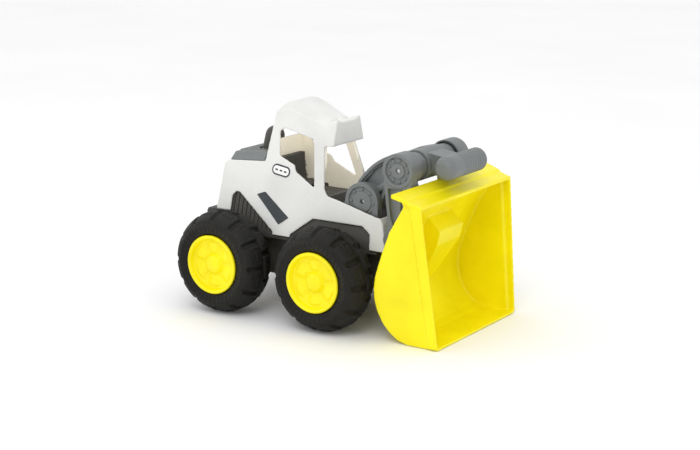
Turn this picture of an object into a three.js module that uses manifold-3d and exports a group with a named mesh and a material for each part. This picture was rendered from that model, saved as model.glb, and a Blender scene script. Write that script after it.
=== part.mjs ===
// Toy front loader, as an assembly of moulded parts. Millimetres, +X forward, +Y to the left, +Z up.
// The origin is on the ground, in the middle of the loader's length and width.
import * as THREE from "three";
import { mergeVertices } from "three/addons/utils/BufferGeometryUtils.js";
import { ConvexGeometry } from "three/addons/geometries/ConvexGeometry.js";
import Module from "manifold-3d";

const wasm = await Module();
wasm.setup();

// ---- driving dimensions ----
const GAP = 0.4; // running gap between neighbours
const WALL = 2.6; // moulded wall thickness

const WHEEL_R = 67;
const WHEEL_IN = 70; // inner and outer faces of a wheel, from the middle plane
const WHEEL_OUT = 128;
const RIM_R = 39;
const BARREL_R = 36.8;
const REAR_AXLE_X = -129;
const FRONT_AXLE_X = 30;
const AXLE_R = 3;
const BORE_R = 3.05; // running clearance on a 6 mm rod

// The shell's sides lean inwards: half width at height z.
const SIDE_AT_Z = 191;
const SIDE_HALF = 43.7;
const SIDE_LEAN = 0.27;

const BOOM_PIVOT = { x: 54, z: 159 };
const ELBOW = { x: 119, z: 209 };
const BRACKET = { r: 24.5, inner: 40, outer: 50 };
const BOOM = { inner: 27, outer: 38.6, tip: 43.6, bossR: 17.5, pivotR: 21 };
const CHEEK = { inner: 45, outer: 70, capR: 21.5 };
const SLEEVE = { half: 26, r: 19.6 };
const GRIP = { x: 168, z: 212, r: 15, half: 46, webHalf: 18 };
const MOUNT = { x: 109.5, z: 120.5, r: 11 }; // cross tube that carries the scoop

// The scoop's half width grows with height.
const SCOOP_HALF = 97.5;
const SCOOP_FLARE = 0.075;
const SCOOP_WALL = 3;
const SCOOP_FLOOR = 0.5;
const LIP_X = 196;
const SOCKET = { half: 26, low: 101, high: 141, depth: 150 };

// ---- materials ----
const plastic = (color, roughness) => new THREE.MeshStandardMaterial({ color, roughness, metalness: 0 });
const WHITE = plastic(0xe9eae8, 0.45);
const YELLOW = plastic(0xfae100, 0.35);
const GREY = plastic(0x6c7271, 0.5);
const DARK = plastic(0x4a4a47, 0.6);
const TYRE = plastic(0x1c1b1b, 0.65);
const STICKER = plastic(0x454950, 0.7);
const STEEL = new THREE.MeshStandardMaterial({ color: 0xb9bcc0, roughness: 0.3, metalness: 1 });

// ---- solids ----
function solid(geometry) {
  const g = geometry.clone();
  g.deleteAttribute("normal");
  g.deleteAttribute("uv");
  const merged = mergeVertices(g, 1e-3);
  return new wasm.Manifold(
    new wasm.Mesh({
      numProp: 3,
      vertProperties: new Float32Array(merged.attributes.position.array),
      triVerts: new Uint32Array(merged.index.array),
    }),
  );
}

function geometryOf(manifold) {
  const mesh = manifold.getMesh();
  const g = new THREE.BufferGeometry();
  g.setAttribute("position", new THREE.BufferAttribute(new Float32Array(mesh.vertProperties), 3));
  g.setIndex(new THREE.BufferAttribute(new Uint32Array(mesh.triVerts), 1));
  g.computeVertexNormals();
  return g;
}

const join = (...parts) => parts.reduce((sum, part) => sum.add(part));
const cut = (body, ...tools) => tools.reduce((rest, tool) => rest.subtract(tool), body);

function shapeOf(outline) {
  return new THREE.Shape(outline.map(([x, z]) => new THREE.Vector2(x, z)));
}

// An outline in the X-Z plane, run from y0 to y1.
function prism(outline, y0, y1) {
  const g = new THREE.ExtrudeGeometry(shapeOf(outline), { depth: y1 - y0, bevelEnabled: false });
  g.rotateX(Math.PI / 2);
  g.translate(0, y1, 0);
  return solid(g);
}

// An outline in the X-Z plane whose half width along Y depends on height.
function taperedPrism(outline, halfAt) {
  const g = new THREE.ExtrudeGeometry(shapeOf(outline), { depth: 2, bevelEnabled: false });
  g.rotateX(Math.PI / 2);
  g.translate(0, 1, 0);
  const p = g.attributes.position;
  for (let i = 0; i < p.count; i++) p.setY(i, Math.sign(p.getY(i)) * halfAt(p.getZ(i)));
  return solid(g);
}

function box(x0, x1, y0, y1, z0, z1) {
  const g = new THREE.BoxGeometry(x1 - x0, y1 - y0, z1 - z0);
  g.translate((x0 + x1) / 2, (y0 + y1) / 2, (z0 + z1) / 2);
  return solid(g);
}

// A cylinder whose axis runs along Y.
function rodY(r, y0, y1, x, z, sides = 32) {
  const g = new THREE.CylinderGeometry(r, r, y1 - y0, sides);
  g.translate(x, (y0 + y1) / 2, z);
  return solid(g);
}

// A profile of (radius, y) points turned about an axis along Y.
function turnedY(profile, x, z, sides = 48) {
  const g = new THREE.LatheGeometry(profile.map(([r, y]) => new THREE.Vector2(r, y)), sides);
  g.translate(x, 0, z);
  return solid(g);
}

// Points on an arc from angle a0 to a1, in degrees, about (cx, cz).
function arc(cx, cz, r, a0, a1, steps) {
  const points = [];
  for (let i = 0; i <= steps; i++) {
    const a = THREE.MathUtils.degToRad(a0 + ((a1 - a0) * i) / steps);
    points.push([cx + r * Math.cos(a), cz + r * Math.sin(a)]);
  }
  return points;
}

// A closed outline moved inwards by d. The outline runs anticlockwise.
function inset(outline, d) {
  const n = outline.length;
  return outline.map((p, i) => {
    const a = outline[(i + n - 1) % n];
    const b = outline[(i + 1) % n];
    const u = new THREE.Vector2(p[0] - a[0], p[1] - a[1]).normalize();
    const v = new THREE.Vector2(b[0] - p[0], b[1] - p[1]).normalize();
    const bisector = new THREE.Vector2(-u.y - v.y, u.x + v.x);
    const reach = (2 * d) / Math.max(bisector.lengthSq(), 0.5);
    return [p[0] + bisector.x * reach, p[1] + bisector.y * reach];
  });
}

const loader = new THREE.Group();
function add(name, manifold, material) {
  const mesh = new THREE.Mesh(geometryOf(manifold), material);
  mesh.name = name;
  loader.add(mesh);
}
const mirrorY = (manifold) => manifold.mirror([0, 1, 0]);
// Adds a piece made for the right-hand (-Y) side, and its mirror image.
function addPair(name, rightPiece, material) {
  add(name + "_right", rightPiece, material);
  add(name + "_left", mirrorY(rightPiece), material);
}

// ---- body shell: bonnet, cab, roof and side skirts in one moulding ----
const sideHalf = (z, less = 0) => SIDE_HALF + SIDE_LEAN * (SIDE_AT_Z - z) - less;
const SHELL_FOOT = 103;
const shellOutline = [
  [-171, SHELL_FOOT], [99, SHELL_FOOT], [98, 112], [91, 137], [86, 142.5], [77, 144], [29.5, 155],
  [2.4, 160.6], [-3, 167.5], [-12.5, 220], [2, 221.5], [2, 251], [-4, 252.5], [-17, 247], [-73, 261],
  [-95, 257.5], [-101.5, 193], [-162, 189], [-167, 184],
];
const sideWindow = [
  [-79.6, 202.5], [-54.4, 192.8], [-51, 185], [-23.7, 170.4], [-19, 168], [-30, 227.2], [-78, 237.5],
  [-84.5, 233],
];
const rearArch = [
  [-146.5, 90], [-74, 90], [-74, 106.5], [-135, 149.6], [-141, 150], [-146.5, 145],
];
const frontArch = [[-46, 90], [78, 90], [74, 122], [62, 130], [-14, 130], [-46, 106.5]];
const rearFenderFoot = [[-180, 90], [-140, 90], [-140, 124.5], [-180, 124.5]];

// Height of the roof's middle line along X, and the height of the side creases below it.
const ROOF_TOP = [
  [-96, 257.5], [-92, 264.5], [-84, 269.5], [-66, 275], [-58, 275.2], [-50, 272.8], [-30, 262.3],
  [-12, 252.6],
];
const creaseAt = (x) => (x < -73 ? 257 + (x + 96) * 0.15 : 260.5 - (x + 73) * 0.245);
function roofCrown(lift) {
  const cloud = [];
  for (const [x, top] of ROOF_TOP) {
    const foot = creaseAt(x);
    const half = sideHalf(foot) - 1.5 + lift * 0.4;
    for (const t of [-1, -0.94, -0.8, -0.6, 0, 0.6, 0.8, 0.94, 1]) {
      const rise = Math.abs(t) > 0.6 ? (1 - (Math.abs(t) - 0.6) * 2.5) ** 0.75 * 0.96 : 1 - 0.11 * t * t;
      cloud.push(new THREE.Vector3(x, t * half, foot + (top - foot) * rise + lift));
    }
    cloud.push(new THREE.Vector3(x, -half, foot - 6), new THREE.Vector3(x, half, foot - 6));
  }
  return solid(new ConvexGeometry(cloud));
}

// The visor's front top corners stand up a little.
function visorCorner(side) {
  const points = [[-9, 27.2, 251], [1.8, 27, 254.6],
    [1.8, 12, 251], [-9, 12, 252], [1.8, 27, 244], [-9, 27.2, 244],
    [1.8, 12, 244], [-9, 12, 244]];
  return solid(new ConvexGeometry(points.map(([x, y, z]) => new THREE.Vector3(x, side * y, z))));
}

function bodyShell() {
  const innerOutline = inset(shellOutline, WALL);
  innerOutline[0][1] = innerOutline[1][1] = SHELL_FOOT - 10;
  innerOutline[1][0] = innerOutline[2][0];
  const corners = [visorCorner(-1), visorCorner(1)];
  const outer = join(taperedPrism(shellOutline, (z) => sideHalf(z)), roofCrown(0), ...corners);
  const inner = join(taperedPrism(innerOutline, (z) => sideHalf(z, WALL)), roofCrown(-WALL));
  const windscreen = taperedPrism([
    [-40, 158], [30, 158], [30, 220.8], [-40, 220.8],
  ], (z) => sideHalf(z, 8));
  const deckHole = taperedPrism([[-9, 110], [84, 110], [84, 212], [-9, 212]], (z) => sideHalf(z, WALL));
  const rearWindow = taperedPrism([
    [-115, 220], [-80, 220], [-80, 247], [-115, 247],
  ], (z) => sideHalf(z, 7));
  const through = [sideWindow, rearArch, frontArch, rearFenderFoot].map((o) => prism(o, -90, 90));
  return cut(outer, inner, windscreen, deckHole, rearWindow, ...through);
}

add("body_shell", bodyShell(), WHITE);

// ---- chassis tub with ribbed wheel-well walls ----
const CHASSIS = { half: 50, floor: 46, deck: 104, inner: 45 };
const SCREWS = [
  ["rear_left", -100, 30],
  ["rear_right", -100, -30],
  ["front_left", 0, 30],
  ["front_right", 0, -30],
];
function screwHole(x, y) {
  const through = new THREE.CylinderGeometry(1.9, 1.9, 20, 16);
  const counterbore = new THREE.CylinderGeometry(3.7, 3.7, 12.5, 20);
  counterbore.translate(0, -3.75, 0);
  return join(solid(through), solid(counterbore)).rotate([90, 0, 0]).translate(x, y, CHASSIS.floor);
}
// Upright grooves in the outer faces of the rear wheel wells.
function wellGrooves(fit) {
  const grooves = [];
  for (let x = -158; x <= -74; x += 7) {
    const band = taperedPrism([
      [x, 106], [x + 2, 106], [x + 2, 153], [x, 153],
    ], (z) => sideHalf(z, fit) + 1);
    const core = [[x - 1, 105], [x + 3, 105], [x + 3, 154], [x - 1, 154]];
    grooves.push(cut(band, taperedPrism(core, (z) => sideHalf(z, fit) - 1.6)));
  }
  return grooves;
}

function chassis() {
  const fit = WALL + 0.7;
  const tub = [
    [-160, 60], [-148, CHASSIS.floor], [66, CHASSIS.floor], [86, 62], [92, 99], [-168, 99], [-168, 84],
  ];
  const lower = prism(tub, -CHASSIS.half, CHASSIS.half);
  const rearWell = taperedPrism([[-162, 98], [-66, 98], [-66, 152], [-162, 152]], (z) => sideHalf(z, fit));
  const frontWell = taperedPrism([[-67, 98], [86, 98], [86, 129], [-67, 129]], (z) => sideHalf(z, fit));
  const bumper = prism([
    [-187, 98], [-166, 92], [-166, 121], [-173, 123.9], [-185, 123.9], [-187.5, 120],
  ], -59, 59);
  const bosses = [REAR_AXLE_X, FRONT_AXLE_X].map((x) => rodY(13, -68.5, 68.5, x, WHEEL_R));
  const trough = box(-156, 80, -CHASSIS.inner, CHASSIS.inner, CHASSIS.floor + 4, 200);
  const bores = [REAR_AXLE_X, FRONT_AXLE_X].map((x) => rodY(BORE_R, -80, 80, x, WHEEL_R, 32));
  const holes = SCREWS.map(([, x, y]) => screwHole(x, y));
  const body = join(lower, rearWell, frontWell, bumper, ...bosses);
  return cut(body, trough, ...bores, ...wellGrooves(fit), ...holes);
}

add("chassis", chassis(), DARK);

// ---- front deck that carries the boom brackets ----
const DECK = { top: 134, half: 48 };
function frontDeck() {
  const plate = box(-12, 79, -DECK.half, DECK.half, DECK.top - 4, DECK.top);
  const step = box(-12, -4, -DECK.half + 8, DECK.half - 8, DECK.top - 4, 156);
  return join(plate, step);
}
add("front_deck", frontDeck(), DARK);

// A ring of bolt heads on a disc that faces -Y.
function boltRing(count, ringR, x, z, y0, y1) {
  const bolts = [];
  for (let i = 0; i < count; i++) {
    const a = (2 * Math.PI * i) / count;
    bolts.push(rodY(2.1, y0, y1, x + ringR * Math.cos(a), z + ringR * Math.sin(a), 8));
  }
  return bolts;
}

function pivotBracket() {
  const { x, z } = BOOM_PIVOT;
  const y0 = -BRACKET.outer;
  const y1 = -BRACKET.inner;
  const disc = rodY(BRACKET.r, y0, y1, x, z, 48);
  const pedestal = prism([
    [x - 29, DECK.top + GAP], [x + 24, DECK.top + GAP], [x + 24.4, z - 2], [x - 22, z + 8],
    [x - 29, DECK.top + 12],
  ], y0, y1);
  const floor = box(x - 60, x + 60, -99, 0, 100, DECK.top + GAP);
  const recess = rodY(19.5, y0 - 1, y0 + 2.5, x, z, 48);
  const inner = rodY(13.5, y0 + 1, y0 + 2.6, x, z, 40);
  const bore = rodY(BORE_R, y0 - 2, y1 + 2, x, z, 32);
  const bolts = boltRing(8, 16.6, x, z, y0 + 0.6, y0 + 2.7);
  return cut(join(cut(join(disc, pedestal), floor, recess), inner, ...bolts), bore);
}
addPair("pivot_bracket", pivotBracket(), GREY);

// ---- cab inside, bonnet vents, air stack ----
function seat() {
  const back = prism([[-96, 156], [-84, 156], [-87, 197], [-95.5, 197]], -27, 27);
  const cushion = prism([[-88, 153], [-62, 153], [-60, 159], [-64, 163], [-88, 161]], -27, 27);
  const feet = box(-92, -70, -20, 20, 151, 156);
  return join(back, cushion, feet);
}
add("cab_seat", seat(), DARK);

function cabFloor() {
  const plate = box(-98, -14, -40, 40, 148.6, 150.6);
  const pan = box(-96, -68, -38, 38, 140, 149);
  return join(plate, pan);
}
add("cab_floor", cabFloor(), DARK);

const bonnetLine = [[-162, 189], [-101.5, 193]];
const STACK = { x: -122.5, flangeR: 16.5, r: 13 };
function bonnetVent() {
  const [[x0, z0], [x1, z1]] = bonnetLine;
  const slope = (z1 - z0) / (x1 - x0);
  const deck = (x) => z0 + (x - x0) * slope + GAP;
  const outline = [[-159, deck(-159)], [-104, deck(-104)], [-104.5, 203], [-110, 204], [-154, 200.5]];
  const ridges = [];
  for (let x = -150; x < -108; x += 9) ridges.push(rodY(3, -30, 30, x, deck(x) + 9.6, 12));
  const slots = [];
  for (let z = 3; z < 9; z += 2.6) {
    const line = [
      [-200, deck(-200) + z], [-90, deck(-90) + z], [-90, deck(-90) + z + 1],
      [-200, deck(-200) + z + 1],
    ];
    slots.push(cut(taperedPrism(line, () => 60), taperedPrism(inset(line, -0.5), (h) => sideHalf(h, 2.5))));
  }
  const block = taperedPrism(outline, (z) => sideHalf(z, 1) - Math.max(0, z - 198) * 0.9);
  const well = new THREE.CylinderGeometry(STACK.flangeR + GAP, STACK.flangeR + GAP, 60, 28);
  well.rotateX(Math.PI / 2).translate(STACK.x, 0, 195);
  return cut(join(block, ...ridges), solid(well), ...slots);
}
add("bonnet_vent", bonnetVent(), GREY);

function airStack() {
  const lean = new THREE.Vector3(7, 0, 31);
  const stem = new THREE.CylinderGeometry(STACK.r, STACK.r + 1, lean.length(), 28);
  const dome = new THREE.SphereGeometry(STACK.r, 28, 12);
  dome.translate(0, lean.length() / 2, 0);
  const flange = new THREE.CylinderGeometry(STACK.flangeR, STACK.flangeR, 14, 28);
  const up = new THREE.Vector3(0, 1, 0);
  const tilt = new THREE.Quaternion().setFromUnitVectors(up, lean.clone().normalize());
  const upright = new THREE.Quaternion().setFromUnitVectors(up, new THREE.Vector3(0, 0, 1));
  const place = (g, x, z, q) => solid(g.applyQuaternion(q).translate(x, 0, z));
  const body = join(
    place(stem, STACK.x + 2.5, 204.5, tilt),
    place(dome, STACK.x + 2.5, 204.5, tilt),
    place(flange, STACK.x, 190, upright),
  );
  const [[x0, z0], [x1, z1]] = bonnetLine;
  const below = prism([[x0, z0 + GAP], [x0, 120], [x1, 120], [x1, z1 + GAP]], -40, 40);
  return cut(body, below);
}
add("air_stack", airStack(), DARK);

// ---- side stickers ----
function leaningPanel(outline, thickness) {
  const sheet = taperedPrism(outline, (z) => sideHalf(z) + GAP + thickness);
  const under = taperedPrism(inset(outline, -3), (z) => sideHalf(z) + GAP);
  return cut(sheet, under, box(-300, 300, 0, 200, 0, 400));
}
addPair("side_stripe", leaningPanel([
  [-65, 116.4], [-51, 126.7], [-93.7, 155.8], [-106.7, 151],
], 0.5), STICKER);
addPair("side_badge", leaningPanel([
  [-82, 178.5], [-62, 176.5], [-57, 183], [-64, 190], [-84, 192], [-89, 185],
], 0.5), STICKER);

// ---- axles and wheels ----
const END = WHEEL_OUT - 18; // where the blind bore of a wheel ends
function axle(x) {
  return rodY(AXLE_R, -END + 1, END - 1, x, WHEEL_R, 24);
}
add("rear_axle", axle(REAR_AXLE_X), STEEL);
add("front_axle", axle(FRONT_AXLE_X), STEEL);

// Profiles run as (radius, distance from the middle plane), for a wheel on the left (+Y) side.
const rimProfile = [
  [0, END], [BORE_R, END], [BORE_R, WHEEL_IN + 2], [12, WHEEL_IN + 2], [12, 104], [32, 108],
  [33, 74], [BARREL_R, 74],
  [BARREL_R, 122.5], [RIM_R, 123.5], [RIM_R, 126.5], [37, 127.6], [34.5, 126], [32.5, 119],
  [22, 115], [15, 116.5],
  [12.5, 121], [6, 123.5], [0, 124],
];
const tyreProfile = [
  [BARREL_R + 0.3, 76], [44, 72], [52, WHEEL_IN], [60, 78], [64.5, 85], [WHEEL_R, 92],
  [WHEEL_R, 106], [64.5, 113],
  [60, 120], [52, WHEEL_OUT], [44, 126], [RIM_R + 0.8, 123], [BARREL_R + 0.3, 121.5],
  [BARREL_R + 0.3, 118], [50, 122], [58.5, 109], [58.5, 89], [50, 76], [BARREL_R + 0.3, 80],
];
const LUGS = 12;
function tyre(profile, x, side) {
  const grooves = [];
  for (let i = 0; i < LUGS; i++) {
    const turn = (i * 360) / LUGS;
    const tread = box(-2.6, 2.6, 78, 99, WHEEL_R - 5.5, WHEEL_R + 5);
    const shoulder = box(-2.6, 2.6, 99, 121, WHEEL_R - 5.5, WHEEL_R + 5);
    grooves.push(tread.rotate([0, turn, 0]), shoulder.rotate([0, turn + 180 / LUGS, 0]));
  }
  const cutters = grooves.map((g) => (side < 0 ? mirrorY(g) : g).translate(x, 0, WHEEL_R));
  return cut(turnedY(profile, x, WHEEL_R, 32), ...cutters);
}
const closed = (profile) => [...profile, profile[0]];
const flip = (profile) => profile.map(([r, y]) => [r, -y]).reverse();

for (const [axleName, x] of [["rear", REAR_AXLE_X], ["front", FRONT_AXLE_X]]) {
  for (const [sideName, side, turn] of [["left", 1, (p) => p], ["right", -1, flip]]) {
    add(axleName + "_" + sideName + "_rim", turnedY(turn(rimProfile), x, WHEEL_R, 24), YELLOW);
    add(axleName + "_" + sideName + "_tyre", tyre(turn(closed(tyreProfile)), x, side), TYRE);
  }
}

// ---- boom: two arched arms joined by a back plate ----
const boomBack = [[41, 182], [60.5, 204], [82.6, 218], [104, 224.5]];
function boomOutline() {
  const curve = new THREE.CatmullRomCurve3(
    [[34, 165], ...boomBack, [119, 226]].map(([x, z]) => new THREE.Vector3(x, 0, z)),
  );
  const top = curve.getPoints(14).map((p) => [p.x, p.z]).reverse();
  return [
    [36, 147], [54, 138.5], [73, 150], [84, 176], [104, 190], [119, 191.5], [136.2, 206],
    [134, 219], ...top,
  ];
}
function boomArm() {
  const outline = boomOutline();
  const arm = prism(outline, -BOOM.outer, -BOOM.inner);
  const panel = inset(outline, 4.4);
  const pocket = cut(
    prism(panel, -BOOM.outer - 1, -BOOM.outer + 7.5),
    rodY(BOOM.bossR, -60, 0, ELBOW.x, ELBOW.z),
    rodY(BOOM.pivotR, -60, 0, BOOM_PIVOT.x, BOOM_PIVOT.z),
  );
  const tip = rodY(BOOM.bossR, -BOOM.tip, -BOOM.inner, ELBOW.x, ELBOW.z);
  return join(cut(arm, pocket), tip);
}
function ramRod() {
  const from = new THREE.Vector3(62, 0, 168);
  const to = new THREE.Vector3(112, 0, 207);
  const axis = to.clone().sub(from);
  const g = new THREE.CylinderGeometry(5, 5, axis.length(), 20);
  g.applyQuaternion(new THREE.Quaternion().setFromUnitVectors(new THREE.Vector3(0, 1, 0), axis.normalize()));
  g.translate((from.x + to.x) / 2, -BOOM.outer + 5.2, (from.z + to.z) / 2);
  return solid(g);
}
function boom() {
  const arm = join(boomArm(), ramRod());
  const back = prism([
    [46, 178], [64, 199], [85, 213], [92, 216], [91, 220], [82.6, 217.5], [61, 203.5], [42, 182],
  ], -BOOM.outer + 3, BOOM.outer - 3);
  const bores = [BOOM_PIVOT, ELBOW].map(({ x, z }) => rodY(BORE_R, -60, 60, x, z, 32));
  const sleeveRoom = rodY(SLEEVE.r + 1.5, -SLEEVE.half - 0.9, SLEEVE.half + 0.9, ELBOW.x, ELBOW.z);
  return cut(join(arm, mirrorY(arm), back), sleeveRoom, ...bores);
}
add("boom", boom(), GREY);

const pin = (half, x, z) => rodY(AXLE_R, -half, half, x, z, 24);
add("boom_pin", pin(BRACKET.outer - 4, BOOM_PIVOT.x, BOOM_PIVOT.z), STEEL);
add("elbow_pin", pin(CHEEK.outer - 3, ELBOW.x, ELBOW.z), STEEL);

// ---- shovel arm: two cheeks, the handle between them, and the scoop mount ----
function cheek() {
  const { x, z } = ELBOW;
  const out = -CHEEK.outer;
  const inn = -CHEEK.inner;
  const cap = cut(rodY(CHEEK.capR, out, inn, x, z, 48), rodY(19.4, inn - 7, inn + 1, x, z, 40));
  const armOutline = [
    [MOUNT.x - 9, MOUNT.z - 9], [MOUNT.x + 2, MOUNT.z - 15], [MOUNT.x + 9, MOUNT.z - 9],
    [MOUNT.x + 10, MOUNT.z + 14],
    [136, 166], [x + 20.5, z - 6], [x - CHEEK.capR, z], [104.5, 150],
  ];
  const arm = prism(armOutline, out + 1, out + 14);
  const panel = [[MOUNT.x + 4, MOUNT.z + 17], [130, 168], [134, 186], [105, 186], [109, 150]];
  const pocket = prism(panel, out, out + 6);
  const rib = prism([[117, 134], [122, 134], [123, 190], [116, 190]], out + 3, out + 8);
  const boss = rodY(MOUNT.r, out + 1, out + 16, MOUNT.x, MOUNT.z);
  const recess = rodY(17, out - 1, out + 3, x, z, 40);
  const hub = rodY(9.5, out + 1.2, out + 3.2, x, z, 32);
  const bores = [rodY(BORE_R, out - 1, inn + 1, x, z, 32), rodY(6.2, out + 6, inn + 4, MOUNT.x, MOUNT.z, 32)];
  const bolts = boltRing(9, 13.3, x, z, out + 1.2, out + 3.2);
  return cut(join(cut(join(cap, join(cut(arm, pocket), rib), boss), recess), hub, ...bolts), ...bores);
}
addPair("arm_cheek", cheek(), GREY);

function gripProfile() {
  const profile = [[0, -GRIP.half], [8.5, -GRIP.half], [12.5, -GRIP.half + 3], [GRIP.r, -GRIP.half + 10]];
  for (let y = -14; y <= 34; y += 6) {
    profile.push([GRIP.r, y], [GRIP.r - 1.2, y + 2], [GRIP.r, y + 4]);
  }
  profile.push([GRIP.r, GRIP.half - 6], [12.5, GRIP.half - 2], [8.5, GRIP.half], [0, GRIP.half]);
  return profile;
}
function handle() {
  const sleeve = rodY(SLEEVE.r, -SLEEVE.half, SLEEVE.half, ELBOW.x, ELBOW.z, 48);
  const web = prism([
    [ELBOW.x + 10, 201], [GRIP.x, 204], [GRIP.x, 220], [ELBOW.x + 6, 226],
  ], -GRIP.webHalf, GRIP.webHalf);
  const bar = turnedY(gripProfile(), GRIP.x, GRIP.z, 24);
  return cut(join(sleeve, web, bar), rodY(BORE_R, -60, 60, ELBOW.x, ELBOW.z, 32));
}
add("tee_handle", handle(), GREY);

function scoopMount() {
  const tube = rodY(6, -62, 62, MOUNT.x, MOUNT.z, 32);
  const core = rodY(MOUNT.r, -CHEEK.inner + 1, CHEEK.inner - 1, MOUNT.x, MOUNT.z);
  const { half, low, high, depth } = SOCKET;
  const tongue = [[MOUNT.x, low + 4], [depth - 13, low + 4], [depth - 7, low + 13], [depth - 7, high - 14],
    [133, high - 3], [MOUNT.x, high - 8]];
  const plug = prism(tongue, -half + 2, half - 2);
  const relief = [[depth - 16, low + 10], [depth, low + 10], [depth, high - 18], [depth - 16, high - 15]];
  return cut(join(tube, core, plug), prism(relief, -half + 6, half - 6));
}
add("scoop_mount", scoopMount(), GREY);

// ---- scoop ----
// The tapered boss inside the scoop, round the socket: broad at the top, fading into the back wall below.
function socketCloud() {
  const { half, low, high, depth } = SOCKET;
  const rows = [[110, high + 11, half + 3], [133, high + 11, half + 3], [depth + 7, high - 11, half + 3],
    [depth + 3, high - 29, half + 3], [110, low - 4, half + 3], [112, 44, 9], [108, 60, 9]];
  return rows.flatMap(([x, z, w]) => [new THREE.Vector3(x, -w, z), new THREE.Vector3(x, w, z)]);
}
const scoopHalf = (z, less = 0) => SCOOP_HALF + SCOOP_FLARE * z - less;
const scoopBack = [
  [132, 142], [116.5, 104], [107.5, 76], [106.8, 52], [112.5, 33], [123.5, 16], [138.5, 4.5],
];
function scoopSide() {
  const curve = new THREE.CatmullRomCurve3(scoopBack.map(([x, z]) => new THREE.Vector3(x, 0, z)));
  const back = curve.getPoints(20).map((p) => [p.x, p.z]);
  return [[LIP_X, SCOOP_FLOOR], [178, 178], [150, 187], [153, 176], ...back, [152, SCOOP_FLOOR]];
}
const scoopOutline = scoopSide();

// The top shelf: a raised rear band and a lower front band, both sloping down to the front.
function scoopShelf() {
  const slab = (x0, z0, h0, x1, z1, h1, thick) =>
    solid(
      new ConvexGeometry(
        [-1, 1].flatMap((s) => [
          new THREE.Vector3(x0, s * h0, z0), new THREE.Vector3(x0, s * h0, z0 - thick),
          new THREE.Vector3(x1, s * h1, z1), new THREE.Vector3(x1, s * h1, z1 - thick),
        ]),
      ),
    );
  return join(slab(140.5, 191.5, 118.6, 161, 185.6, 114.8, 5), slab(155, 185, 116, 178.5, 178.6, 111.5, 4.5));
}

function scoop() {
  const outer = taperedPrism(scoopOutline, (z) => scoopHalf(z));
  const cavity = inset(scoopOutline, SCOOP_WALL);
  const [front, top] = cavity;
  front[0] += 40;
  top[0] += 40;
  top[1] -= 12;
  const hollow = taperedPrism(cavity, (z) => scoopHalf(z, SCOOP_WALL));
  const backOnly = taperedPrism(scoopOutline, (z) => scoopHalf(z) - 1);
  const { half, low, high, depth } = SOCKET;
  const mouth = [
    [60, low], [depth - 12, low], [depth - 3, low + 12], [depth - 3, high - 12], [134, high],
    [60, high],
  ];
  const socket = prism(mouth, -half, half);
  const band = [[LIP_X - 12, 3], [LIP_X, 3], [LIP_X, 6], [178.4, 178], [163, 178], [LIP_X - 13, 8]];
  const everywhere = [[150, -5], [230, -5], [230, 190], [150, 190]];
  const lipBand = cut(
    taperedPrism(band, (z) => scoopHalf(z) + 2.5),
    taperedPrism(everywhere, (z) => scoopHalf(z) - 1),
  );
  const bandInside = [[LIP_X - 9, 4.5], [LIP_X + 20, 4.5], [LIP_X + 20, 170], [167, 174]];
  const rebate = taperedPrism(bandInside, (z) => scoopHalf(z) - 0.5);
  const bulge = solid(new ConvexGeometry(socketCloud())).intersect(backOnly);
  return cut(join(cut(outer, hollow), bulge, scoopShelf(), lipBand), socket, rebate);
}
add("scoop", scoop(), YELLOW);

// ---- screws that hold the shell to the chassis, driven from below ----
function screw(x, y) {
  const shank = new THREE.CylinderGeometry(1.5, 1.5, 11, 12);
  shank.translate(0, 6.5, 0);
  const head = new THREE.CylinderGeometry(3.2, 3.2, 1.6, 16);
  head.translate(0, 0.8, 0);
  const piece = join(solid(shank), solid(head));
  return piece.rotate([90, 0, 0]).translate(x, y, CHASSIS.floor + 0.5);
}
for (const [place, x, y] of SCREWS) add("chassis_screw_" + place, screw(x, y), STEEL);

export default loader;
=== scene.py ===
import math
import bmesh
import bpy
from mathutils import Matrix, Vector


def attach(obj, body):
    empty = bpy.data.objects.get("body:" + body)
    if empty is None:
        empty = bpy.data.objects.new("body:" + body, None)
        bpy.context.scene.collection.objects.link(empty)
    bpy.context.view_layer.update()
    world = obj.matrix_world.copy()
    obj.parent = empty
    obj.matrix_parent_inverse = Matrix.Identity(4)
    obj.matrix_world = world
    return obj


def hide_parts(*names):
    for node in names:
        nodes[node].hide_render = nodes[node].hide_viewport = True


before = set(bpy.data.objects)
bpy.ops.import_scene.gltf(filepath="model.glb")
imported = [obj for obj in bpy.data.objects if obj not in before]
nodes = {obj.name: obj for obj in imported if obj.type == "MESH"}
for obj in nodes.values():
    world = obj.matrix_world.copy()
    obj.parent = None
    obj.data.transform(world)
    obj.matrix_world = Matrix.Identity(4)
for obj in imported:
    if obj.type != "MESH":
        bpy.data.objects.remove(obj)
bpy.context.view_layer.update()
MM = 0.001

# driving places, in mm in the frame's axes
WHEEL_Z = 67
AXLE_X = {"rear": -129, "front": 30}
TYRE_MIDDLE_Y = 99

# the body shell's sides lean inwards with height
SIDE_HALF = 43.7
SIDE_HALF_AT_Z = 191
SIDE_LEAN = 0.27

CAMERA_PLACE = (1099.8, -1637.8, 585.8)
CAMERA_AZIMUTH, CAMERA_ELEVATION = 33.8, 13.5
SENSOR = 36
LENS = SENSOR * 1551 / 700


def side_at(z):
    """Half width of the shell's outer side at a height, in mm."""
    return SIDE_HALF + SIDE_LEAN * (SIDE_HALF_AT_Z - z)


# ---- camera, at the product shot's angle ----
def look(azimuth, elevation):
    """Unit vector from the subject back to the camera."""
    a, e = math.radians(azimuth), math.radians(elevation)
    return Vector((math.sin(a) * math.cos(e), -math.cos(a) * math.cos(e), math.sin(e)))


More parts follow.
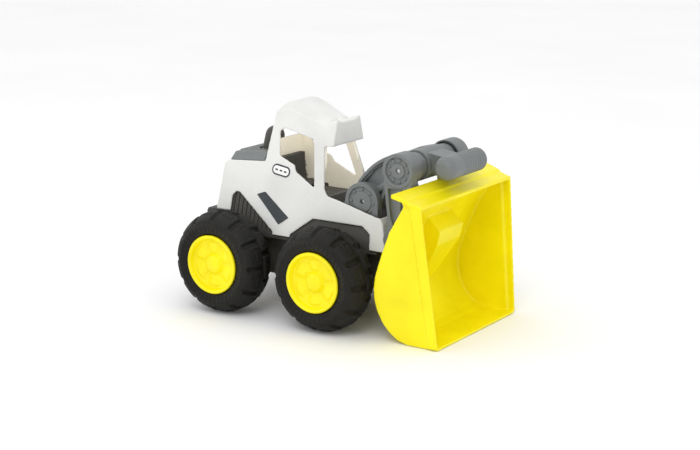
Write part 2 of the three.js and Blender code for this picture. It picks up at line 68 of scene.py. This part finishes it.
def add_camera():
    data = bpy.data.cameras.new("camera")
    data.lens = LENS
    data.sensor_width = SENSOR
    data.clip_end = 20
    cam = bpy.data.objects.new("camera", data)
    bpy.context.scene.collection.objects.link(cam)
    cam.location = Vector(CAMERA_PLACE) * MM
    forward = -look(CAMERA_AZIMUTH, CAMERA_ELEVATION)
    cam.rotation_euler = forward.to_track_quat("-Z", "Y").to_euler()
    bpy.context.scene.camera = cam


# ---- materials ----
class Nodes:
    """Small helper that adds and links shader nodes."""

    def __init__(self, name):
        self.mat = bpy.data.materials.new(name)
        self.mat.use_nodes = True
        self.tree = self.mat.node_tree
        self.bsdf = self.tree.nodes["Principled BSDF"]
        self.coord = self.add("ShaderNodeTexCoord").outputs["Object"]

    def add(self, kind, **values):
        node = self.tree.nodes.new(kind)
        for key, value in values.items():
            if key in node.inputs:
                node.inputs[key].default_value = value
            else:
                setattr(node, key, value)
        return node

    def link(self, a, b):
        self.tree.links.new(a, b)

    def noise(self, scale, detail=4.0, roughness=0.55, stretch=None):
        node = self.add("ShaderNodeTexNoise", Scale=scale, Detail=detail, Roughness=roughness)
        source = self.coord
        if stretch:
            mapping = self.add("ShaderNodeMapping", Scale=stretch)
            self.link(source, mapping.inputs["Vector"])
            source = mapping.outputs["Vector"]
        self.link(source, node.inputs["Vector"])
        return node.outputs["Fac"]

    def ramp(self, fac, stops):
        node = self.add("ShaderNodeValToRGB")
        ramp = node.color_ramp
        while len(ramp.elements) < len(stops):
            ramp.elements.new(0.5)
        for element, (place, value) in zip(ramp.elements, stops):
            element.position = place
            element.color = (*value, 1)
        self.link(fac, node.inputs["Fac"])
        return node.outputs["Color"]

    def mix(self, fac, a, b, blend="MIX"):
        node = self.add("ShaderNodeMix", data_type="RGBA", blend_type=blend)
        for socket, value in ((node.inputs[0], fac), (node.inputs[6], a), (node.inputs[7], b)):
            if hasattr(value, "is_linked"):
                self.link(value, socket)
            else:
                socket.default_value = value if not isinstance(value, tuple) else (*value[:3], 1)
        return node.outputs[2]

    def bump(self, heights):
        """Chains (height socket, distance in m, strength) into the normal."""
        last = None
        for height, distance, strength in heights:
            node = self.add("ShaderNodeBump", Distance=distance, Strength=strength)
            self.link(height, node.inputs["Height"])
            if last:
                self.link(last, node.inputs["Normal"])
            last = node.outputs["Normal"]
        self.link(last, self.bsdf.inputs["Normal"])


def moulded_plastic(
    name, color, rough, grain=1800, grain_depth=0.00004, scuff=0.12, gloss=0.5, wear=0.25
):
    """Moulded plastic: fine grain, slow tone drift, faint scuffs and paler worn edges."""
    n = Nodes(name)
    n.bsdf.inputs["Specular IOR Level"].default_value = gloss
    drift = n.noise(14, 3)
    dark = tuple(c * 0.93 for c in color)
    light = tuple(min(1, c * 1.05 + 0.004) for c in color)
    base = n.mix(n.ramp(drift, [(0.35, (0, 0, 0)), (0.65, (1, 1, 1))]), dark, light)
    speck = n.ramp(n.noise(900, 2), [(0.42, (0.965, 0.965, 0.965)), (0.6, (1, 1, 1))])
    base = n.mix(1.0, base, speck, "MULTIPLY")
    edge = n.add("ShaderNodeNewGeometry").outputs["Pointiness"]
    worn = n.ramp(edge, [(0.54, (0, 0, 0)), (0.66, (1, 1, 1))])
    patches = n.ramp(n.noise(160, 4), [(0.4, (0.1, 0.1, 0.1)), (0.7, (1, 1, 1))])
    worn = n.mix(1.0, worn, patches, "MULTIPLY")
    paler = tuple(min(1, c * 1.12 + 0.24 * scuff) for c in color)
    amount = n.add("ShaderNodeMath", operation="MULTIPLY")
    amount.inputs[1].default_value = wear
    n.link(worn, amount.inputs[0])
    base = n.mix(amount.outputs[0], base, paler)
    n.link(base, n.bsdf.inputs["Base Color"])
    scratches = n.noise(60, 5, 0.7, stretch=(1.0, 6.0, 1.6))
    lo, hi = max(0.05, rough - scuff), min(1, rough + scuff)
    sheen = n.ramp(scratches, [(0.3, (lo, lo, lo)), (0.7, (hi, hi, hi))])
    n.link(sheen, n.bsdf.inputs["Roughness"])
    n.bump([(n.noise(grain, 2), grain_depth, 0.5), (n.noise(38, 2), 0.0006, 0.12)])
    return n.mat


def speckled_sticker(name, color, fleck):
    """Printed vinyl with a fine speckle."""
    n = Nodes(name)
    n.bsdf.inputs["Specular IOR Level"].default_value = 0.3
    fine = n.ramp(n.noise(1500, 1), [(0.5, (0, 0, 0)), (0.68, (1, 1, 1))])
    patches = n.ramp(n.noise(30, 2), [(0.3, (0, 0, 0)), (0.7, (1, 1, 1))])
    tone = n.mix(patches, color, tuple(c * 1.25 for c in color))
    amount = n.add("ShaderNodeMath", operation="MULTIPLY")
    amount.inputs[1].default_value = 0.45
    n.link(fine, amount.inputs[0])
    n.link(n.mix(amount.outputs[0], tone, fleck), n.bsdf.inputs["Base Color"])
    rough = n.ramp(n.noise(70, 4), [(0.3, (0.42, 0.42, 0.42)), (0.7, (0.6, 0.6, 0.6))])
    n.link(rough, n.bsdf.inputs["Roughness"])
    n.bump([(n.noise(900, 2), 0.00003, 0.5)])
    return n.mat


def brushed_rod(name):
    """Steel with fine lines drawn along Y."""
    n = Nodes(name)
    n.bsdf.inputs["Metallic"].default_value = 1.0
    lines = n.noise(400, 3, 0.6, stretch=(1, 0.05, 1))
    tone = n.ramp(lines, [(0.3, (0.42, 0.42, 0.43)), (0.7, (0.62, 0.62, 0.63))])
    n.link(tone, n.bsdf.inputs["Base Color"])
    rough = n.ramp(lines, [(0.3, (0.22, 0.22, 0.22)), (0.7, (0.4, 0.4, 0.4))])
    n.link(rough, n.bsdf.inputs["Roughness"])
    n.bump([(lines, 0.00003, 0.4)])
    return n.mat


WHITE = moulded_plastic("white_body", (0.73, 0.73, 0.71), 0.42, grain=1400, gloss=0.4, wear=0.0)
# painted warm bounce light: this cream tint stands in for warm light bounced round inside the white cab
INSIDE_BOUNCE_LIGHT = moulded_plastic("painted_bounce_light_inside", (0.90, 0.85, 0.73), 0.5, grain=1400, wear=0.0)
# painted glow: a faint warm emission on the inner walls, though they are no lamp
painted_glow = INSIDE_BOUNCE_LIGHT.node_tree.nodes["Principled BSDF"]
painted_glow.inputs["Emission Color"].default_value = (1.0, 0.93, 0.76, 1)
painted_glow.inputs["Emission Strength"].default_value = 0.26
GREY = moulded_plastic("grey_arm", (0.165, 0.178, 0.178), 0.46, grain=1600, scuff=0.1)
DARK = moulded_plastic("dark_chassis", (0.058, 0.056, 0.050), 0.55, grain=1500, scuff=0.1, gloss=0.35)
YELLOW = moulded_plastic(
    "yellow_scoop", (0.96, 0.83, 0.0), 0.36, grain=2000, grain_depth=0.00002, scuff=0.1, gloss=0.35, wear=0.06
)
RUBBER = moulded_plastic(
    "tyre_black", (0.008, 0.0075, 0.006), 0.55, grain=1300, grain_depth=0.00006, gloss=0.22, wear=0.1
)
SLATE = speckled_sticker("slate_sticker", (0.034, 0.040, 0.046), (0.11, 0.12, 0.125))
BADGE_WHITE = speckled_sticker("badge_white", (0.78, 0.78, 0.77), (0.7, 0.7, 0.7))
STEEL = brushed_rod("steel_rod")


def new_piece(name, mesh, body, slot, material, *nodes_replaced):
    obj = bpy.data.objects.new(name, mesh)
    bpy.context.scene.collection.objects.link(obj)
    mesh.materials.clear()
    mesh.materials.append(material)
    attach(obj, body)
    if nodes_replaced:
        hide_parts(*nodes_replaced)
    return obj


def mesh_of(bm, name):
    bmesh.ops.recalc_face_normals(bm, faces=bm.faces)
    mesh = bpy.data.meshes.new(name)
    bm.to_mesh(mesh)
    bm.free()
    for p in mesh.polygons:
        p.use_smooth = True
    return mesh


def applied(obj):
    """Applies obj's modifiers to its mesh."""
    bpy.context.view_layer.update()
    depsgraph = bpy.context.evaluated_depsgraph_get()
    mesh = bpy.data.meshes.new_from_object(obj.evaluated_get(depsgraph))
    obj.modifiers.clear()
    obj.data = mesh
    for p in mesh.polygons:
        p.use_smooth = True


def soften(mesh, voxel, rounds, keep=1.0):
    """One skin round a mesh's closed solids, with every edge rounded as a mould rounds it."""
    obj = bpy.data.objects.new("softening", mesh)
    bpy.context.scene.collection.objects.link(obj)
    remesh = obj.modifiers.new("skin", "REMESH")
    remesh.mode = "VOXEL"
    remesh.voxel_size = voxel
    smooth = obj.modifiers.new("soften", "SMOOTH")
    smooth.factor = 0.5
    smooth.iterations = rounds
    if keep < 1:
        thin = obj.modifiers.new("thin", "DECIMATE")
        thin.ratio = keep
    applied(obj)
    out = obj.data
    bpy.data.objects.remove(obj)
    return out


def node_bmesh(name):
    """A copy of a CAD node's mesh with its split corners joined."""
    bm = bmesh.new()
    bm.from_mesh(nodes[name].data)
    bmesh.ops.remove_doubles(bm, verts=bm.verts, dist=1e-6)
    return bm


def moulded(node, body, slot, material, voxel=0.9, rounds=4, keep=0.5):
    """A piece made from a CAD node: same shape, with rounded edges. The voxel is in mm."""
    mesh = mesh_of(node_bmesh(node), node + "_skin")
    size = voxel * 1
    mesh = soften(mesh, size * MM, rounds, keep)
    return new_piece(node + "_moulded", mesh, body, slot, material, node)


def paint_bounce_light_inside(shell):
    """The cab's inner walls get a cream tint and a faint glow: painted warm bounce light on the white
    plastic.
    """
    shell.data.materials.append(INSIDE_BOUNCE_LIGHT)
    for p in shell.data.polygons:
        c, n = p.center / MM, p.normal
        half = side_at(c.z)
        faces_in = n.y * c.y < 0 and abs(n.y) > 0.5
        edge_inside = abs(n.y) <= 0.5 and abs(c.y) < half - 3
        in_cab = -99.5 < c.x < -6 and c.z > 120 and abs(c.y) < half - 1
        roof_top = n.z > 0.3 and c.z > 205
        # these inward faces get the painted warm bounce light (cream tint and glow)
        if in_cab and (faces_in or edge_inside) and not roof_top:
            p.material_index = 1


def carried(node, material, bevel=0.5):
    """A CAD node that keeps its own mesh, with a small rounded edge and its own material."""
    obj = nodes[node]
    obj.data.materials.clear()
    obj.data.materials.append(material)
    weld = obj.modifiers.new("weld", "WELD")
    weld.merge_threshold = 1e-6
    edge = obj.modifiers.new("edge", "BEVEL")
    edge.width = bevel * MM
    edge.segments = 2
    edge.limit_method = "ANGLE"
    edge.angle_limit = math.radians(28)
    edge.harden_normals = False
    for p in obj.data.polygons:
        p.use_smooth = True
    return obj


# ---- tyres: blocky lugs over a rounded carcass ----
LUGS = 12


def smoothstep(a, b, x):
    t = min(1, max(0, (x - a) / (b - a)))
    return t * t * (3 - 2 * t)


def pulse(x, centre, half, soft):
    d = abs((x - centre + 0.5) % 1 - 0.5)
    return 1 - smoothstep(half - soft, half + soft, d)


TYRE_LINE = [
    (37.2, 77), (40, 73.5), (45, 72), (50, 71), (53, 71.5), (56, 74), (59, 77.5), (61.5, 81.5),
    (63.6, 86), (65, 90.5), (65.6, 95), (65.8, 99), (65.6, 103), (65, 107.5), (63.6, 112),
    (61.5, 116.5), (59, 120.5), (56, 124), (53, 126.5), (50.5, 127.2), (48, 126.2), (45, 125.4),
    (42, 124.8), (39.8, 123.6), (38.4, 122),
]


def fine_line(points, steps):
    out = []
    for i, (a, b) in enumerate(zip(points, points[1:])):
        for k in range(steps):
            t = k / steps
            out.append((a[0] + (b[0] - a[0]) * t, a[1] + (b[1] - a[1]) * t))
    out.append(points[-1])
    return out


def tyre_offset(r, y, turn):
    """How far the tread stands proud (+) or sinks (-), in mm, at a place on the carcass."""
    across = y - TYRE_MIDDLE_Y
    side = 1 if across > 0 else -1
    phase = turn * LUGS + (0.0 if side > 0 else 0.5)
    a = abs(across)
    lug = pulse(phase, 0.5, 0.40, 0.035)
    shoulder = smoothstep(53.5, 56.5, r) * (1 - smoothstep(27.0, 29.5, a))
    inner = smoothstep(1.5, 3.0, a)
    tread = lug * shoulder * inner
    pad = pulse(phase, 0.5, 0.26, 0.03) * smoothstep(5, 6.5, a) * (1 - smoothstep(12.5, 14, a))
    core = pulse(phase, 0.5, 0.20, 0.03) * smoothstep(6.8, 8, a) * (1 - smoothstep(11, 12.2, a))
    seam = smoothstep(14.6, 15.4, a) * (1 - smoothstep(16.2, 17, a))
    height = 1.2 * tread - 2.6 * (1 - tread) * smoothstep(56, 60, r)
    height += tread * (-0.9 * (pad - core) - 0.5 * seam)
    if side > 0 and r < 52.5:
        ribs = pulse(turn * 44, 0.5, 0.24, 0.12)
        height += 0.9 * ribs * smoothstep(43, 44.5, r) * (1 - smoothstep(50, 51.5, r))
    return height


def tyre_mesh(name, x, side):
    """The tyre line turned round the axle, closed, with the lugs raised from it."""
    line = fine_line(TYRE_LINE, 4)
    around = 336
    bm = bmesh.new()
    rings = []
    for i, (r, y) in enumerate(line):
        a, b = line[max(0, i - 1)], line[min(len(line) - 1, i + 1)]
        normal = Vector((b[1] - a[1], -(b[0] - a[0]))).normalized()
        ring = []
        for k in range(around):
            turn = k / around
            h = tyre_offset(r, y, turn)
            rr, yy = r + normal.x * h, y + normal.y * h
            angle = 2 * math.pi * turn
            at = (x + rr * math.cos(angle), side * yy, WHEEL_Z + rr * math.sin(angle))
            ring.append(bm.verts.new(Vector(at) * MM))
        rings.append(ring)
    for a, b in zip(rings, rings[1:] + rings[:1]):
        for k in range(around):
            bm.faces.new((a[k], a[(k + 1) % around], b[(k + 1) % around], b[k]))
    return mesh_of(bm, name)


# ---- rims: turned barrel with a lobed face ----
RIM_LINE = [
    (3.2, 72.5), (12, 72.5), (12, 104), (32, 108), (33, 74.5), (36.4, 74.5), (36.4, 122.3),
    (38.6, 123.4), (38.8, 125.6), (37.6, 127.0), (36.0, 127.2), (34.6, 126.2), (33.4, 123.4),
    (32.2, 120.0), (29.5, 118.2), (25.5, 117.2), (21, 116.6), (17, 116.6), (14.2, 117.4),
    (12.6, 119.6), (11.4, 121.8), (9, 123.6), (5.5, 124.6), (2.2, 124.9),
]


def rim_lift(r, turn):
    """Six soft lobes between the hub and the outer ring."""
    band = smoothstep(13.5, 17.5, r) * (1 - smoothstep(27.5, 31, r))
    lobe = pulse(turn * 6, 0.5, 0.3, 0.17)
    return 3.4 * band * lobe


def rim_mesh(name, x, side):
    """The rim line turned round the axle, with the lobes raised and a cap on the hub."""
    line = fine_line(RIM_LINE, 3)
    around = 120
    bm = bmesh.new()
    rings = []
    for r, y in line:
        ring = []
        for k in range(around):
            angle = 2 * math.pi * k / around
            lift = rim_lift(r, k / around) if y > 112 else 0
            at = (x + r * math.cos(angle), side * (y + lift), WHEEL_Z + r * math.sin(angle))
            ring.append(bm.verts.new(Vector(at) * MM))
        rings.append(ring)
    for a, b in zip(rings, rings[1:]):
        for k in range(around):
            bm.faces.new((a[k], a[(k + 1) % around], b[(k + 1) % around], b[k]))
    cap = bm.verts.new(Vector((x, side * 125.0, WHEEL_Z)) * MM)
    last = rings[-1]
    for k in range(around):
        bm.faces.new((last[k], last[(k + 1) % around], cap))
    # the bore runs in from the inner face and ends blind
    bore = rings[0]
    deep = [bm.verts.new(Vector((v.co.x, side * 110.0 * MM, v.co.z))) for v in bore]
    for k in range(around):
        bm.faces.new((bore[k], bore[(k + 1) % around], deep[(k + 1) % around], deep[k]))
    bm.faces.new(deep)
    return mesh_of(bm, name)


def add_wheels():
    for axle, x in AXLE_X.items():
        for label, side in (("left", 1), ("right", -1)):
            body = f"{axle}_{label}_wheel"
            tyre = tyre_mesh(f"{axle}_{label}_tyre_mesh", x, side)
            new_piece(
                f"{axle}_{label}_tyre_lugs", tyre, body, "tyre_black", RUBBER, f"{axle}_{label}_tyre"
            )
            rim = rim_mesh(f"{axle}_{label}_rim_mesh", x, side)
            new_piece(
                f"{axle}_{label}_rim_face", rim, body, "yellow_plastic", YELLOW, f"{axle}_{label}_rim"
            )


# ---- stickers ----
def leaning_sheet(name, outline, side, lift, thick, material, replaced=()):
    """A thin rounded sheet lying on the shell's leaning side."""
    bm = bmesh.new()
    layers = []
    for off in (lift, lift + thick):
        places = [Vector((x, side * (side_at(z) + off), z)) for x, z in outline]
        layers.append([bm.verts.new(place * MM) for place in places])
    n = len(outline)
    bm.faces.new(layers[0])
    bm.faces.new(layers[1][::-1])
    for k in range(n):
        bm.faces.new((layers[0][k], layers[0][(k + 1) % n], layers[1][(k + 1) % n], layers[1][k]))
    mesh = mesh_of(bm, name)
    for p in mesh.polygons:
        p.use_smooth = False
    return new_piece(name, mesh, "frame", "slate_sticker", material, *replaced)


def rounded(outline, radius, steps=6):
    """The outline with its corners rounded."""
    out = []
    n = len(outline)
    for i in range(n):
        p = Vector(outline[i])
        a = (Vector(outline[i - 1]) - p).normalized()
        b = (Vector(outline[(i + 1) % n]) - p).normalized()
        start, end = p + a * radius, p + b * radius
        for k in range(steps + 1):
            t = k / steps
            out.append(tuple((1 - t) ** 2 * start + 2 * t * (1 - t) * p + t * t * end))
    return out


def stadium(cx, cz, long, high, tilt, steps=14):
    """A pill outline, longer along its tilted X."""
    out = []
    r = high / 2
    c, s = math.cos(math.radians(tilt)), math.sin(math.radians(tilt))
    for end, start in ((1, -90), (-1, 90)):
        for k in range(steps + 1):
            a = math.radians(start + 180 * k / steps)
            u, v = end * (long / 2 - r) + r * math.cos(a), r * math.sin(a)
            out.append((cx + u * c - v * s, cz + u * s + v * c))
    return out


def add_stickers():
    stripe = rounded([(-65.5, 116.8), (-51.4, 126.9), (-94, 155.3), (-106.3, 150.8)], 1.4)
    for label, side in (("right", -1), ("left", 1)):
        leaning_sheet(f"stripe_{label}", stripe, side, 0.15, 0.5, SLATE, (f"side_stripe_{label}",))
        ring = stadium(-73.5, 184.3, 29, 13.6, -8)
        leaning_sheet(f"badge_ring_{label}", ring, side, 0.15, 0.45, SLATE, (f"side_badge_{label}",))
        inner = stadium(-73.5, 184.3, 25.2, 9.8, -8)
        leaning_sheet(f"badge_field_{label}", inner, side, 0.45, 0.35, BADGE_WHITE)
        for i in range(3):
            dash = stadium(-80.5 + i * 7, 185.2 - i * 1.0, 4.6, 2.0, -8, 6)
            leaning_sheet(f"badge_dash_{label}_{i}", dash, side, 0.7, 0.3, SLATE)


# ---- floor and lights ----
def add_stage():
    bm = bmesh.new()
    bmesh.ops.create_grid(bm, x_segments=8, y_segments=8, size=6)
    floor = bpy.data.objects.new("floor", mesh_of(bm, "floor"))
    bpy.context.scene.collection.objects.link(floor)
    n = Nodes("floor")
    tone = n.ramp(n.noise(2, 2), [(0.3, (0.93, 0.93, 0.93)), (0.7, (0.96, 0.96, 0.96))])
    n.link(tone, n.bsdf.inputs["Base Color"])
    n.bsdf.inputs["Roughness"].default_value = 0.8
    n.bsdf.inputs["Specular IOR Level"].default_value = 0.1
    floor.data.materials.append(n.mat)
    world = bpy.data.worlds.new("studio")
    bpy.context.scene.world = world
    world.use_nodes = True
    sky = world.node_tree.nodes["Background"]
    sky.inputs["Color"].default_value = (1, 1, 1, 1)
    sky.inputs["Strength"].default_value = 1.0
    bpy.context.scene.view_settings.view_transform = "Standard"


def add_light(name, place, target, size, power):
    data = bpy.data.lights.new(name, "AREA")
    data.shape = "DISK"
    data.size = size
    data.energy = power
    obj = bpy.data.objects.new(name, data)
    bpy.context.scene.collection.objects.link(obj)
    obj.location = place
    obj.rotation_euler = (Vector(place) - Vector(target)).to_track_quat("Z", "Y").to_euler()


def add_lights():
    middle = (0, 0, 0.12)
    add_light("key", (0.5, -1.3, 1.7), middle, 1.0, 7)
    add_light("top", (-0.4, 0.2, 2.0), middle, 1.4, 2.5)
    add_light("fill", (-1.6, -1.0, 0.8), middle, 1.2, 1.5)


add_camera()
add_stage()
add_lights()
add_wheels()
add_stickers()

shell = moulded("body_shell", "frame", "white_plastic", WHITE, voxel=1.1, rounds=4, keep=0.35)
paint_bounce_light_inside(shell)
carried("chassis", DARK, 0.45)
moulded("cab_seat", "frame", "dark_plastic", DARK, voxel=1.0, rounds=8, keep=0.5)
moulded("bonnet_vent", "frame", "grey_plastic", GREY, voxel=0.7, rounds=2, keep=0.4)
moulded("air_stack", "frame", "dark_plastic", DARK, voxel=0.9, rounds=3, keep=0.5)
for side in ("left", "right"):
    moulded(f"pivot_bracket_{side}", "frame", "grey_plastic", GREY, voxel=0.42, rounds=2, keep=0.3)
    moulded(f"arm_cheek_{side}", "shovel", "grey_plastic", GREY, voxel=0.45, rounds=2, keep=0.25)
moulded("boom", "boom_body", "grey_plastic", GREY, voxel=0.8, rounds=2, keep=0.4)
moulded("tee_handle", "shovel", "grey_plastic", GREY, voxel=0.6, rounds=2, keep=0.4)
moulded("scoop_mount", "shovel", "grey_plastic", GREY, voxel=1.0, rounds=3, keep=0.4)
moulded("scoop", "shovel", "yellow_plastic", YELLOW, voxel=1.1, rounds=5, keep=0.35)
for name in ("front_deck", "cab_floor"):
    carried(name, DARK, 0.8)
for name in ("rear_axle", "front_axle", "boom_pin", "elbow_pin"):
    carried(name, STEEL, 0.3)
for name in nodes:
    if "screw" in name:
        carried(name, STEEL, 0.3)
